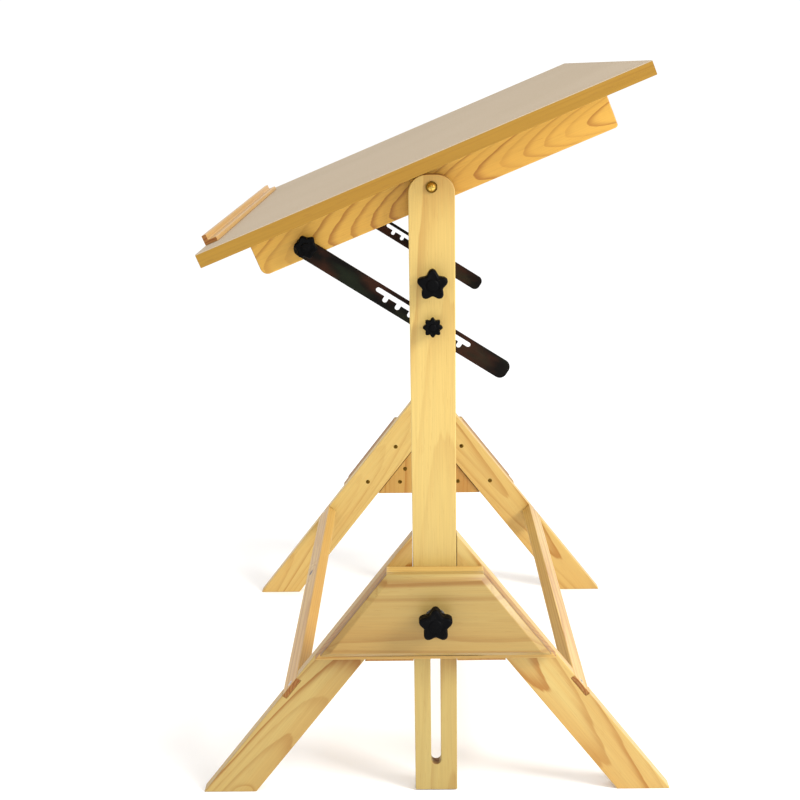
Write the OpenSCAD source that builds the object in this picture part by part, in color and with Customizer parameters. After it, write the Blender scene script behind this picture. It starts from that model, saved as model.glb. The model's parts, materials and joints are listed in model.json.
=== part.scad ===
// Drafting table: two A-shaped end frames joined by stretchers, two sliding posts joined by a
// cross rail, and a tilting top held by a slotted steel arm on each side.
// X runs from the user's side (-X) to the back (+X), Y runs side to side and Z is up.
// The right-hand end is at -Y and the left-hand end mirrors it. Units are millimetres.

/* [Table top] */
// Depth of the top from its front edge to its back edge
top_d = 600; // [500:5:720]
// Length of the top from side to side
top_l = 900; // [780:5:1200]
// Thickness of the top with its surface sheet
top_t = 18; // [16:0.5:25]
// Thickness of the hard surface sheet
sheet_t = 1; // [0.6:0.1:2]
// Thickness of the timber lipping round the core board
lipping_t = 9; // [6:0.5:12]
// Incline of the top as stored, above the horizontal
tilt = 22; // [10:0.5:40]

/* [Ledge] */
// Length of the pencil ledge along the front edge
ledge_l = 730; // [500:5:760]
// Width of the ledge's foot
ledge_w = 18; // [16:0.5:30]
// Thickness of the ledge's foot
ledge_foot_t = 6; // [4:0.5:9]
// Thickness of the ledge's upright lip
ledge_lip_t = 6.5; // [4:0.5:10]
// Height of the ledge's lip above the top
ledge_h = 13.5; // [11:0.5:25]

/* [Cleats] */
// Length of a cleat under the top
cleat_l = 498; // [450:1:500]
// Height of a cleat
cleat_h = 49; // [44:1:60]
// Thickness of a cleat
cleat_t = 20; // [16:0.5:26]
// Radius of a cleat's lower front corner
cleat_front_r = 10; // [4:0.5:18]
// Radius of a cleat's lower back corner
cleat_back_r = 4; // [1:0.5:10]
// Height of the pivot axis below the underside of the top
pivot_drop = 25; // [22:0.5:28]

/* [Posts] */
// Height of the pivot axis above the floor with the posts lowered
pivot_z = 864; // [760:1:1000]
// Width of a post
post_w = 60; // [50:1:76]
// Thickness of a post
post_t = 18; // [15:0.5:21]
// Height of wood above the pivot axis
post_head = 16; // [14:0.5:18]
// Radius of a post's top corners
post_corner_r = 24; // [18:0.5:25]
// Gap between a lowered post and the floor
post_clear = 1; // [1:0.5:30]
// Play of the clamp bolt on each side of the height slot in a post
slot_play = 1; // [0.8:0.1:2]
// Wood left below the height slot
slot_sill = 41; // [30:1:60]

/* [Cross rail] */
// Distance from the pivot axis down to the middle of the cross rail
rail_drop = 123; // [110:1:140]
// Height of the cross rail
rail_h = 44; // [34:1:48]
// Thickness of the cross rail
rail_t = 20; // [18:0.5:26]

/* [End frames] */
// Distance from the middle of the table to the outer face of the legs
frame_y = 375; // [320:1:450]
// Half the spread of a frame's feet at the floor
leg_spread = 337; // [280:1:400]
// Height at which the outer edges of a frame's two legs would meet
leg_apex = 431.5; // [400:0.5:500]
// Width of a leg
leg_w = 60; // [50:1:70]
// Thickness of a leg
leg_t = 22; // [20:0.5:30]
// Height of the clamp bolt above the floor
clamp_z = 286; // [275:1:310]
// Height of the top of the frame plates
plate_top_z = 347; // [335:1:370]
// Height of the bottom of the guide plate
guide_bottom_z = 216; // [200:1:220]
// Thickness of the guide plate
guide_t = 18; // [12:0.5:22]
// Thickness of the guide blocks between a post and its legs
block_t = 18; // [15:0.5:21]
// Height of the bottom of the guide blocks
block_bottom_z = 204.5; // [200:0.5:210]
// Gap between a guide block and its leg
block_gap = 1.5; // [1:0.5:3]
// Height of the bottom of the face plate
face_bottom_z = 226; // [216:1:240]
// Thickness of the face plate
face_t = 18; // [16:0.5:30]

/* [Stretchers] */
// Height of a stretcher's upper outer edge above the floor
stretcher_z = 180; // [150:1:190]
// Width of a stretcher along the slope of the legs
stretcher_w = 35; // [28:0.5:42]
// Thickness of a stretcher square to the slope of the legs
stretcher_t = 18; // [14:0.5:24]
// Thickness of the tongue at each end of a stretcher
tongue_t = 7.5; // [6:0.5:10]

/* [Tilt arms] */
// Distance from the top's pivot to each end pin of an arm
link_r = 180; // [172:1:181]
// Angle of an arm's upper pin below the plane through the pivot
link_drop = 2.8; // [2:0.1:4]
// Width of an arm
arm_w = 26; // [24:0.5:30]
// Thickness of an arm
arm_t = 3; // [2:0.5:4]
// Reach of an arm beyond its upper pin
arm_reach = 315; // [290:1:330]
// Distance from an arm's upper edge to the middle of its slot
arm_spine = 8.6; // [8.4:0.1:10]
// Distance from the upper pin to the near end of the slot
arm_slot_near = 110; // [105:1:115]
// Distance from the upper pin to the far end of the slot
arm_slot_far = 250; // [249:1:258]
// Number of notches in an arm
notch_count = 7; // [4:1:7]
// Distance from the upper pin to the first notch
notch_first = 124.5; // [118:0.1:126]
// Distance between notches
notch_pitch = 19.2; // [12:0.1:19.5]
// Depth of a notch below the middle of the slot
notch_depth = 7.4; // [4:0.1:8]

/* [Fasteners] */
// Diameter of the frame clamp bolts
clamp_bolt_d = 12; // [8:0.5:12]
// Diameter of the cross rail studs
rail_stud_d = 8; // [6:0.5:10]
// Diameter of the arm bolts
arm_bolt_d = 6; // [5:0.5:6]
// Diameter of the top's pivot bolts
pivot_bolt_d = 8; // [6:0.5:10]
// Diameter of the frame clamp knobs
clamp_knob_d = 47; // [40:1:56]
// Diameter of the cross rail knobs
rail_knob_d = 41; // [34:1:46]
// Diameter of the arm clamp knobs
arm_knob_d = 26; // [22:1:30]
// Diameter of the knobs at the arms' upper pins
pin_knob_d = 31; // [26:1:34]

/* [Clearances] */
// Gap between faces that move past each other
face_gap = 0.3; // [0.2:0.05:0.6]
// Gap on each side of a post in its channel
channel_gap = 0.5; // [0.3:0.1:1]
// Radial clearance of a pin or bolt in its hole
bore_clear = 0.06; // [0.03:0.01:0.1]
// Clearance on each side of a bolt in an arm's slot
slot_clear = 0.3; // [0.2:0.05:0.5]

/* [Hidden] */
$fn = 64;
eps = 0.01;
cut = 1;

// Places worked out from the driving sizes
leg_angle = atan(leg_apex / leg_spread);
post_outer_y = frame_y - face_gap;
post_inner_y = post_outer_y - post_t;
arm_outer_y = post_inner_y - face_gap;
arm_inner_y = arm_outer_y - arm_t;
cleat_outer_y = arm_inner_y - face_gap;
cleat_inner_y = cleat_outer_y - cleat_t;
guide_outer_y = frame_y + guide_t;
face_outer_y = guide_outer_y + face_t;
channel_x = post_w / 2 + channel_gap;
slot_w = clamp_bolt_d + 2 * slot_play;
rail_z = pivot_z - rail_drop;
under_w = pivot_drop;
surface_w = pivot_drop + top_t;
cleat_low_w = under_w - cleat_h;

// The clamp bolt's square neck runs in the post's slot
neck_w = slot_w - 2 * slot_clear;
neck_l = 9;
slot_low = post_clear + slot_sill + slot_w / 2;
slot_high = clamp_z + neck_w / 2 + cut;

// The arm pins: the upper pin rides on the cleat, the lower bolt on the post
pin_u = -link_r * cos(link_drop);
pin_w = -link_r * sin(link_drop);
pin_x = pin_u * cos(tilt) - pin_w * sin(tilt);
pin_z = pivot_z + pin_u * sin(tilt) + pin_w * cos(tilt);
hook_z = pivot_z - link_r;
arm_angle = atan2(hook_z - pin_z, -pin_x);
arm_slot_w = arm_bolt_d + 2 * slot_clear;
arm_tail = 14;
arm_end_r = 10;

// Washers, inserts and heads
washer_t = 2;
thin_washer_t = 1.5;
insert_wall = 2.5;
knob_rest = 0.2;
clamp_head_d = 27;
clamp_head_t = 6;
small_head_d = 14;
small_head_t = 3.5;
nut_t = 6.5;
screw_d = 4;
screw_head_d = 8;
screw_head_t = 2.4;
screw_clear = 0.05;

cup_t = 1.5;
cup_d = 15;
pivot_head_d = 12;
pivot_head_h = 4;
barrel_d = 12;
barrel_inset = 38;
rail_stud_depth = 48;
rail_stud_grip = 14;
clamp_bolt_grip = 18;
small_grip = 10;

// Knobs: how far the lobes dip, the hub's diameter and height, and the whole height
knob_round = 0.13;
clamp_knob_dip = 0.27;
clamp_knob_hub = [24, 9];
clamp_knob_h = 29;
rail_knob_dip = 0.27;
rail_knob_hub = [20, 8];
rail_knob_h = 25;
arm_knob_dip = 0.2;
arm_knob_hub = [14, 5];
arm_knob_h = 16;
pin_knob_dip = 0.18;
pin_knob_hub = [17, 5];
pin_knob_h = 17;

// Faces that the knobs stand on, measured from the middle of the table
clamp_knob_y = face_outer_y + washer_t + knob_rest;
rail_knob_y = post_outer_y + washer_t + knob_rest;
arm_knob_y = post_outer_y + thin_washer_t + knob_rest;
pin_knob_y = arm_outer_y + knob_rest;

// Heights and lengths of the screws that hold the legs, the blocks and the plates of a frame together
low_screw_rise = 14;
high_screw_drop = 46;
block_screw_rises = [23.5, 50];
screw_stop = 4;
leg_screw_zs = [guide_bottom_z + low_screw_rise, plate_top_z - high_screw_drop];
plate_screw_zs = [for (rise = block_screw_rises) block_bottom_z + rise];
leg_screw_l = leg_t + guide_t - screw_stop;
plate_screw_l = block_t + guide_t + face_t - 2 * screw_stop;
stretcher_screw_l = 26;

// Screws of the top's cleats and ledge
cleat_screw_end = 24;
cleat_screw_us = [-cleat_l / 2 + cleat_screw_end, -cleat_l / 5, cleat_l / 5, cleat_l / 2 - cleat_screw_end];
cleat_screw_grip = 22;
cleat_screw_head_w = under_w - cleat_screw_grip;
cleat_screw_l = 34;
counterbore_d = 9.5;
ledge_screw_count = 4;
ledge_screw_l = top_t + 3.5;
ledge_screw_u = -top_d / 2 + lipping_t + screw_head_d / 2 + 1;
ledge_screw_end = 40;

// Shared shapes ------------------------------------------------------------------------------

// Extrudes an outline drawn in X and Z from y_low over a thickness
module slab(y_low, thickness) {
    translate([0, y_low + thickness, 0]) rotate([90, 0, 0]) linear_extrude(thickness) children();
}

// A rod along Y between two places
module rod_y(x, z, y_a, y_b, d) {
    translate([x, min(y_a, y_b), z]) rotate([-90, 0, 0]) cylinder(h = abs(y_b - y_a), d = d);
}

// Copies a right-hand piece to the left-hand end too
module both_ends() {
    children();
    mirror([0, 1, 0]) children();
}

// Copies a piece from the front half to the back half too
module front_and_back() {
    children();
    mirror([1, 0, 0]) children();
}

// Places children in the tilted frame of the top, whose origin is the pivot axis
module on_top() {
    translate([0, 0, pivot_z]) rotate([0, -tilt, 0]) children();
}

// Places an outline along the outer edge of the front legs, starting at the foot
module along_leg() {
    translate([-leg_spread, 0]) rotate(leg_angle) children();
}

// Half width of the end frame at a height
function frame_x(z) = leg_spread * (1 - z / leg_apex);

// Distance from the middle of the table to a leg's inner edge at a height
function leg_inner_x(z) = frame_x(z) - leg_w / sin(leg_angle);

// Outline of a star-shaped knob with rounded lobes
function star_outline(lobes, d, dip, steps = 12) =
    [for (i = [0 : lobes * steps - 1])
        let (a = i * 360 / (lobes * steps), r = d / 2 * (1 - dip * (1 - cos(lobes * a)) / 2))
        [r * sin(a), r * cos(a)]];

// A knob standing on the plane z = 0 on a round hub, which is given as its diameter and height
module star_knob(lobes, d, dip, hub, h) {
    cylinder(h = hub[1] + eps, d = hub[0]);
    translate([0, 0, hub[1]]) intersection() {
        linear_extrude(h - hub[1]) polygon(star_outline(lobes, d, dip));
        rotate_extrude() star_section(d / 2, h - hub[1], knob_round * d / 2);
    }
}

// Half section that rounds the upper and lower rims of a knob
module star_section(r, h, round_r) {
    square([r - round_r, h]);
    translate([0, round_r]) square([r + eps, h - 2 * round_r]);
    for (z = [round_r, h - round_r]) translate([r - round_r, z]) circle(round_r);
}

// Bores a blind hole upwards from the plane z = 0
module blind_hole(d, h) {
    translate([0, 0, -cut]) cylinder(h = h + cut, d = d);
}

// A domed bolt head on the plane z = 0
module dome_head(d, h) {
    sphere_r = (d * d / 4 + h * h) / (2 * h);
    intersection() {
        translate([0, 0, h - sphere_r]) sphere(sphere_r, $fn = 96);
        cylinder(h = h, d = d);
    }
}

// A cross recess cut downwards from the plane z = 0
module cross_recess(span, depth) {
    for (a = [0, 90]) rotate(a) translate([-span / 2, -span / 8, -depth]) cube([span, span / 4, depth + cut]);
}

// A countersunk wood screw pointing down from the plane z = 0
module wood_screw(l) {
    difference() {
        union() {
            translate([0, 0, -screw_head_t]) cylinder(h = screw_head_t, d1 = screw_d, d2 = screw_head_d);
            translate([0, 0, -l + screw_d]) cylinder(h = l - screw_d, d = screw_d);
            translate([0, 0, -l]) cylinder(h = screw_d, d1 = screw_d / 4, d2 = screw_d);
        }
        cross_recess(screw_head_d * 0.55, screw_head_t * 0.7);
    }
}

// The hole that a wood screw fills
module wood_screw_hole(l) {
    translate([0, 0, -screw_head_t]) cylinder(h = screw_head_t + eps, d1 = screw_d + 2 * screw_clear,
                                              d2 = screw_head_d + 4 * screw_clear);
    translate([0, 0, -l - screw_clear]) cylinder(h = l, d = screw_d + 2 * screw_clear);
}

// Points a screw outwards at the right-hand end, with its head looking inwards
module screw_out(x, y, z) {
    translate([x, y, z]) rotate([-90, 0, 0]) children();
}

// Stands a piece that rises along +Z on a face that looks outwards at the right-hand end
module stand_out(x, y, z) {
    translate([x, y, z]) rotate([90, 0, 0]) children();
}

// Places of the screws through the right-hand front leg, along the middle of its width
module leg_screw_places() {
    for (z = leg_screw_zs)
        screw_out(-(frame_x(z) - leg_w / sin(leg_angle) / 2), -(frame_y - leg_t), z) children();
}

// Places of the screws through the right-hand front guide block, in the middle of its width
module plate_screw_places() {
    for (z = plate_screw_zs) screw_out(-(channel_x + leg_inner_x(z)) / 2, -(frame_y - block_t), z) children();
}

// Place of the screw that holds the front stretcher's right-hand tongue
module tongue_screw_place() {
    s = (stretcher_z / sin(leg_angle)) - stretcher_w / 2;
    translate([-leg_spread, 0, 0]) rotate([0, -leg_angle, 0])
        translate([s, -(frame_y - leg_t / 2), 0]) children();
}

// End frames ---------------------------------------------------------------------------------

// Outline of the front leg, cut level at the floor and upright beside the post
module leg_outline() {
    head_z = leg_apex * (1 - channel_x / leg_spread);
    polygon([[-leg_spread, 0], [-channel_x, head_z], [-channel_x, head_z - leg_w / cos(leg_angle)],
             [-leg_spread + leg_w / sin(leg_angle), 0]]);
}

// Outline of the front stretcher's section, flush with the legs' outer edges
module stretcher_section(thickness) {
    along_leg() translate([stretcher_z / sin(leg_angle) - stretcher_w, -thickness])
        square([stretcher_w, thickness]);
}

// The right-hand front leg
module leg() {
    difference() {
        slab(-frame_y, leg_t) difference() {
            leg_outline();
            stretcher_section(tongue_t + bore_clear);
            along_leg() translate([stretcher_z / sin(leg_angle) - stretcher_w, 0]) square([stretcher_w, cut]);
        }
        leg_screw_places() wood_screw_hole(leg_screw_l);
        tongue_screw_place() wood_screw_hole(stretcher_screw_l);
    }
}

// Outline shared by the plates of an end frame
module plate_outline(low_z, high_z) {
    polygon([[-frame_x(low_z), low_z], [frame_x(low_z), low_z],
             [frame_x(high_z), high_z], [-frame_x(high_z), high_z]]);
}

// The right-hand guide plate, which the post slides against
module guide_plate() {
    difference() {
        slab(-guide_outer_y, guide_t) plate_outline(guide_bottom_z, plate_top_z);
        rod_y(0, clamp_z, -guide_outer_y - cut, -frame_y + cut, clamp_bolt_d + 2 * bore_clear);
        front_and_back() {
            leg_screw_places() wood_screw_hole(leg_screw_l);
            plate_screw_places() wood_screw_hole(plate_screw_l);
        }
    }
}

// The right-hand front guide block, which fills the corner between the post and the leg
module guide_block() {
    side_gap = block_gap / sin(leg_angle);
    top_z = leg_apex * (1 - (channel_x + leg_w / sin(leg_angle) + side_gap) / leg_spread);
    difference() {
        slab(-frame_y, block_t)
            polygon([[-channel_x, block_bottom_z], [-channel_x, top_z],
                     [-leg_inner_x(block_bottom_z) + side_gap, block_bottom_z]]);
        plate_screw_places() wood_screw_hole(plate_screw_l);
    }
}

// The right-hand face plate, which the clamp knob presses on
module face_plate() {
    difference() {
        slab(-face_outer_y, face_t) plate_outline(face_bottom_z, plate_top_z);
        rod_y(0, clamp_z, -face_outer_y - cut, -guide_outer_y + cut, clamp_bolt_d + 2 * bore_clear);
        front_and_back() plate_screw_places() wood_screw_hole(plate_screw_l);
    }
}

// The front stretcher, whose tongues pass over the legs in notches in their outer edges
module stretcher() {
    difference() {
        union() {
            slab(-(frame_y - leg_t), 2 * (frame_y - leg_t)) stretcher_section(stretcher_t);
            slab(-frame_y, 2 * frame_y) stretcher_section(tongue_t);
        }
        both_ends() tongue_screw_place() wood_screw_hole(stretcher_screw_l);
    }
}

// The right-hand clamp bolt, with a domed head and a square neck that runs in the post's slot
module clamp_bolt() {
    head_y = post_inner_y - face_gap;
    translate([0, -head_y, clamp_z]) rotate([-90, 0, 0]) dome_head(clamp_head_d, clamp_head_t);
    translate([-neck_w / 2, -head_y - neck_l, clamp_z - neck_w / 2]) cube([neck_w, neck_l + eps, neck_w]);
    rod_y(0, clamp_z, -(face_outer_y + washer_t + knob_rest + clamp_bolt_grip), -head_y, clamp_bolt_d);
}

// Posts and cross rail -----------------------------------------------------------------------

// Outline of a post, with rounded top corners
module post_outline() {
    top_z = pivot_z + post_head;
    shoulder = post_w / 2 - post_corner_r;
    translate([-post_w / 2, post_clear]) square([post_w, top_z - post_corner_r - post_clear]);
    translate([-shoulder, top_z - post_corner_r - eps]) square([2 * shoulder, post_corner_r + eps]);
    for (side = [-1, 1]) translate([side * shoulder, top_z - post_corner_r]) circle(post_corner_r);
}

// Outline of an upright slot between the centres of its round ends
module upright_slot(low_z, high_z, width) {
    translate([-width / 2, low_z]) square([width, high_z - low_z]);
    for (z = [low_z, high_z]) translate([0, z]) circle(d = width);
}

// The right-hand post
module post() {
    slab(-post_outer_y, post_t) difference() {
        post_outline();
        upright_slot(slot_low, slot_high, slot_w);
        translate([0, pivot_z]) circle(d = pivot_bolt_d + 2 * bore_clear);
        translate([0, rail_z]) circle(d = rail_stud_d + 2 * bore_clear);
        translate([0, hook_z]) circle(d = arm_bolt_d + 2 * bore_clear);
    }
}

// The rail between the posts, bored at each end for a stud and its barrel nut
module cross_rail() {
    difference() {
        translate([-rail_t / 2, -post_inner_y, rail_z - rail_h / 2]) cube([rail_t, 2 * post_inner_y, rail_h]);
        both_ends() {
            rod_y(0, rail_z, -post_inner_y - cut, -(post_inner_y - rail_stud_depth - 4),
                  rail_stud_d + 2 * bore_clear);
            barrel_nut_blank(barrel_d + 2 * bore_clear, rail_t + 2 * cut);
        }
    }
}

// A plain cylinder across the rail where the right-hand barrel nut sits
module barrel_nut_blank(d, l) {
    translate([-l / 2, -(post_inner_y - barrel_inset), rail_z]) rotate([0, 90, 0]) cylinder(h = l, d = d);
}

// The right-hand barrel nut
module barrel_nut() {
    difference() {
        barrel_nut_blank(barrel_d, rail_t - 2);
        rod_y(0, rail_z, -(post_inner_y - barrel_inset) - barrel_d, -(post_inner_y - barrel_inset) + barrel_d,
              rail_stud_d + 2 * bore_clear);
    }
}

// The right-hand stud, fixed in its knob
module rail_stud() {
    rod_y(0, rail_z, -(rail_knob_y + rail_stud_grip), -(post_inner_y - rail_stud_depth), rail_stud_d);
}

// A flat washer that fills Y from y_low over its thickness
module washer_y(x, z, y_low, thickness, d, hole_d) {
    difference() {
        rod_y(x, z, y_low, y_low + thickness, d);
        rod_y(x, z, y_low - cut, y_low + thickness + cut, hole_d);
    }
}

// The right-hand arm clamp bolt, with its head inside the arm
module arm_clamp_bolt() {
    head_y = arm_inner_y - face_gap - thin_washer_t;
    translate([0, -head_y, hook_z]) rotate([-90, 0, 0]) dome_head(small_head_d, small_head_t);
    rod_y(0, hook_z, -(arm_knob_y + small_grip), -head_y, arm_bolt_d);
}

// The washers under the head and the knob of the right-hand arm clamp bolt
module arm_clamp_washer_pair() {
    hole_d = arm_bolt_d + 2 * bore_clear;
    washer_y(0, hook_z, -(arm_inner_y - face_gap), thin_washer_t, arm_bolt_d * 3, hole_d);
    washer_y(0, hook_z, -(post_outer_y + thin_washer_t), thin_washer_t, arm_bolt_d * 2.4, hole_d);
}

// The right-hand pivot bolt, with a domed cross head outside the post
module pivot_bolt() {
    difference() {
        stand_out(0, -(post_outer_y + cup_t), pivot_z) dome_head(pivot_head_d, pivot_head_h);
        stand_out(0, -(post_outer_y + cup_t + pivot_head_h), pivot_z) cross_recess(pivot_head_d * 0.5, 2);
    }
    rod_y(0, pivot_z, -(post_outer_y + cup_t), -(cleat_inner_y - face_gap - thin_washer_t - nut_t - 2),
          pivot_bolt_d);
}

// The flanged nut inside the right-hand cleat
module pivot_nut() {
    hole_d = pivot_bolt_d + 2 * bore_clear;
    face_y = cleat_inner_y - face_gap;
    washer_y(0, pivot_z, -face_y, thin_washer_t, pivot_bolt_d * 2.2, hole_d);
    difference() {
        translate([0, -face_y + thin_washer_t, pivot_z]) rotate([-90, 0, 0])
            cylinder(h = nut_t, d = pivot_bolt_d * 1.85, $fn = 6);
        rod_y(0, pivot_z, -face_y, -face_y + thin_washer_t + nut_t + cut, hole_d);
    }
}

// Top ----------------------------------------------------------------------------------------

// Places of the screws that rise through the right-hand cleat
module cleat_screw_places() {
    for (u = cleat_screw_us)
        translate([u, -(cleat_outer_y - cleat_t / 2), cleat_screw_head_w]) rotate([180, 0, 0]) children();
}

// Places of the screws that rise into the ledge
module ledge_screw_places() {
    span = ledge_l - 2 * ledge_screw_end;
    for (i = [0 : ledge_screw_count - 1])
        translate([ledge_screw_u, -span / 2 + i * span / (ledge_screw_count - 1), under_w])
            rotate([180, 0, 0]) children();
}

// The core board inside the lipping
module core_board() {
    inner_d = top_d - 2 * lipping_t;
    inner_l = top_l - 2 * lipping_t;
    on_top() difference() {
        translate([-inner_d / 2, -inner_l / 2, under_w]) cube([inner_d, inner_l, top_t - sheet_t]);
        both_ends() cleat_screw_places() wood_screw_hole(cleat_screw_l);
        ledge_screw_places() wood_screw_hole(ledge_screw_l);
    }
}

// The hard sheet over the whole top
module surface_sheet() {
    on_top() difference() {
        translate([-top_d / 2, -top_l / 2, surface_w - sheet_t]) cube([top_d, top_l, sheet_t]);
        ledge_screw_places() wood_screw_hole(ledge_screw_l);
    }
}

// A mitred lipping along the edge at u = -depth / 2, for a top of the given depth and length
module lipping(depth, length) {
    translate([0, 0, under_w]) linear_extrude(top_t - sheet_t)
        polygon([[-depth / 2, -length / 2], [-depth / 2 + lipping_t, -length / 2 + lipping_t],
                 [-depth / 2 + lipping_t, length / 2 - lipping_t], [-depth / 2, length / 2]]);
}

// The waste cut from a cleat's lower corner at its front (-1) or back (1)
module cleat_corner(side, r) {
    translate([side * (cleat_l / 2 - r), cleat_low_w + r]) difference() {
        translate([side > 0 ? 0 : -r - eps, -r - eps]) square(r + eps);
        circle(r);
    }
}

// Outline of a cleat, with rounded lower corners
module cleat_outline() {
    difference() {
        translate([-cleat_l / 2, cleat_low_w]) square([cleat_l, cleat_h]);
        cleat_corner(-1, cleat_front_r);
        cleat_corner(1, cleat_back_r);
    }
}

// The right-hand cleat
module cleat() {
    on_top() difference() {
        slab(-cleat_outer_y, cleat_t) difference() {
            cleat_outline();
            circle(d = pivot_bolt_d + 2 * bore_clear);
            translate([pin_u, pin_w]) circle(d = arm_bolt_d + 2 * bore_clear);
        }
        cleat_screw_places() {
            wood_screw_hole(cleat_screw_l);
            translate([0, 0, -eps]) cylinder(h = cleat_screw_head_w - cleat_low_w + cut, d = counterbore_d);
        }
    }
}

// The pencil ledge: a flat foot with an upright lip at the front
module ledge() {
    on_top() difference() {
        slab(-ledge_l / 2, ledge_l) translate([-top_d / 2, surface_w]) {
            square([ledge_w, ledge_foot_t]);
            square([ledge_lip_t, ledge_h]);
        }
        ledge_screw_places() wood_screw_hole(ledge_screw_l);
    }
}

// The right-hand upper pin, with its head inside the cleat
module arm_pin() {
    on_top() {
        translate([pin_u, -cleat_inner_y, pin_w]) rotate([-90, 0, 0]) dome_head(small_head_d, small_head_t);
        rod_y(pin_u, pin_w, -(pin_knob_y + small_grip), -cleat_inner_y, arm_bolt_d);
    }
}

// Tilt arms ----------------------------------------------------------------------------------

// Outline of an arm whose upper pin is at the origin and whose slot lies along +X
module arm_outline() {
    high = arm_spine;
    low = arm_spine - arm_w;
    r = arm_end_r;
    difference() {
        union() {
            translate([-arm_tail, low + r]) square([arm_tail + arm_reach, arm_w - 2 * r]);
            translate([-arm_tail + r, low]) square([arm_tail + arm_reach - 2 * r, arm_w]);
            for (x = [-arm_tail + r, arm_reach - r], y = [low + r, high - r]) translate([x, y]) circle(r);
        }
        circle(d = arm_bolt_d + 2 * bore_clear);
        translate([arm_slot_near, -arm_slot_w / 2]) square([arm_slot_far - arm_slot_near, arm_slot_w]);
        for (x = [arm_slot_near, arm_slot_far]) translate([x, 0]) circle(d = arm_slot_w);
        for (i = [0 : notch_count - 1]) translate([notch_first + i * notch_pitch, 0]) {
            translate([-arm_slot_w / 2, -notch_depth]) square([arm_slot_w, notch_depth]);
            translate([0, -notch_depth]) circle(d = arm_slot_w);
        }
    }
}

// The right-hand arm
module tilt_arm() {
    slab(-arm_outer_y, arm_t) translate([pin_x, pin_z]) rotate(arm_angle) arm_outline();
}

// Knobs --------------------------------------------------------------------------------------

// The metal insert of a right-hand knob at a face, for a bolt of the given diameter
module knob_insert(x, z, face_y, bolt_d, l) {
    washer_y(x, z, -(face_y + l), l, bolt_d + 2 * insert_wall, bolt_d + 2 * bore_clear);
}

// Diameter of the hole that takes a knob's insert
function insert_hole(bolt_d) = bolt_d + 2 * insert_wall + 2 * bore_clear;

// The right-hand knob of the frame clamp
module clamp_knob() {
    stand_out(0, -clamp_knob_y, clamp_z) difference() {
        star_knob(5, clamp_knob_d, clamp_knob_dip, clamp_knob_hub, clamp_knob_h);
        blind_hole(insert_hole(clamp_bolt_d), clamp_bolt_grip + 2);
    }
}

// The right-hand knob of the cross rail
module rail_knob() {
    stand_out(0, -rail_knob_y, rail_z) difference() {
        star_knob(5, rail_knob_d, rail_knob_dip, rail_knob_hub, rail_knob_h);
        blind_hole(rail_stud_d + 2 * bore_clear, rail_stud_grip + 1);
    }
}

// The right-hand knob that clamps an arm to its post
module arm_knob() {
    stand_out(0, -arm_knob_y, hook_z) difference() {
        star_knob(8, arm_knob_d, arm_knob_dip, arm_knob_hub, arm_knob_h);
        blind_hole(insert_hole(arm_bolt_d), small_grip + 1);
    }
}

// The right-hand knob at an arm's upper pin
module pin_knob() {
    on_top() stand_out(pin_u, -pin_knob_y, pin_w) difference() {
        star_knob(6, pin_knob_d, pin_knob_dip, pin_knob_hub, pin_knob_h);
        blind_hole(insert_hole(arm_bolt_d), small_grip + 1);
    }
}

// Finished pieces ----------------------------------------------------------------------------

pine = "#E9C883";
steel = "#B9BCC0";
dark_steel = "#3B3836";
brass = "#C9A24B";
plastic = "#161616";

module leg_front_right() { color(pine) leg(); }
module leg_back_right() { color(pine) mirror([1, 0, 0]) leg(); }
module leg_front_left() { color(pine) mirror([0, 1, 0]) leg(); }
module leg_back_left() { color(pine) mirror([1, 0, 0]) mirror([0, 1, 0]) leg(); }
module guide_plate_right() { color(pine) guide_plate(); }
module guide_plate_left() { color(pine) mirror([0, 1, 0]) guide_plate(); }
module guide_blocks_right() { color(pine) front_and_back() guide_block(); }
module guide_blocks_left() { color(pine) mirror([0, 1, 0]) guide_blocks_right(); }
module face_plate_right() { color(pine) face_plate(); }
module face_plate_left() { color(pine) mirror([0, 1, 0]) face_plate(); }
module stretcher_front() { color(pine) stretcher(); }
module stretcher_back() { color(pine) mirror([1, 0, 0]) stretcher(); }
module leg_screws() {
    color(brass) both_ends() front_and_back() leg_screw_places() wood_screw(leg_screw_l);
}
module plate_screws() {
    color(brass) both_ends() front_and_back() plate_screw_places() wood_screw(plate_screw_l);
}
module stretcher_screws() {
    color(steel) both_ends() front_and_back() tongue_screw_place() wood_screw(stretcher_screw_l);
}
module clamp_bolt_right() { color(steel) clamp_bolt(); }
module clamp_bolt_left() { color(steel) mirror([0, 1, 0]) clamp_bolt(); }
module clamp_washers() {
    color(steel) both_ends()
        washer_y(0, clamp_z, -(face_outer_y + washer_t), washer_t, clamp_bolt_d * 2.4,
                 clamp_bolt_d + 2 * bore_clear);
}
module clamp_knob_right() { color(plastic) clamp_knob(); }
module clamp_knob_left() { color(plastic) mirror([0, 1, 0]) clamp_knob(); }
module clamp_insert_right() {
    color(brass) knob_insert(0, clamp_z, clamp_knob_y, clamp_bolt_d, clamp_bolt_grip);
}
module clamp_insert_left() { color(brass) mirror([0, 1, 0]) clamp_insert_right(); }
module post_right() { color(pine) post(); }
module post_left() { color(pine) mirror([0, 1, 0]) post(); }
module rail() { color(pine) cross_rail(); }
module rail_barrel_nuts() { color(steel) both_ends() barrel_nut(); }
module rail_washers() {
    color(steel) both_ends()
        washer_y(0, rail_z, -(post_outer_y + washer_t), washer_t, rail_stud_d * 2.6,
                 rail_stud_d + 2 * bore_clear);
}
module rail_knob_right() { color(plastic) rail_knob(); }
module rail_knob_left() { color(plastic) mirror([0, 1, 0]) rail_knob(); }
module rail_stud_right() { color(steel) rail_stud(); }
module rail_stud_left() { color(steel) mirror([0, 1, 0]) rail_stud(); }
module arm_clamp_bolts() { color(steel) both_ends() arm_clamp_bolt(); }
module arm_clamp_washers() { color(steel) both_ends() arm_clamp_washer_pair(); }
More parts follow.
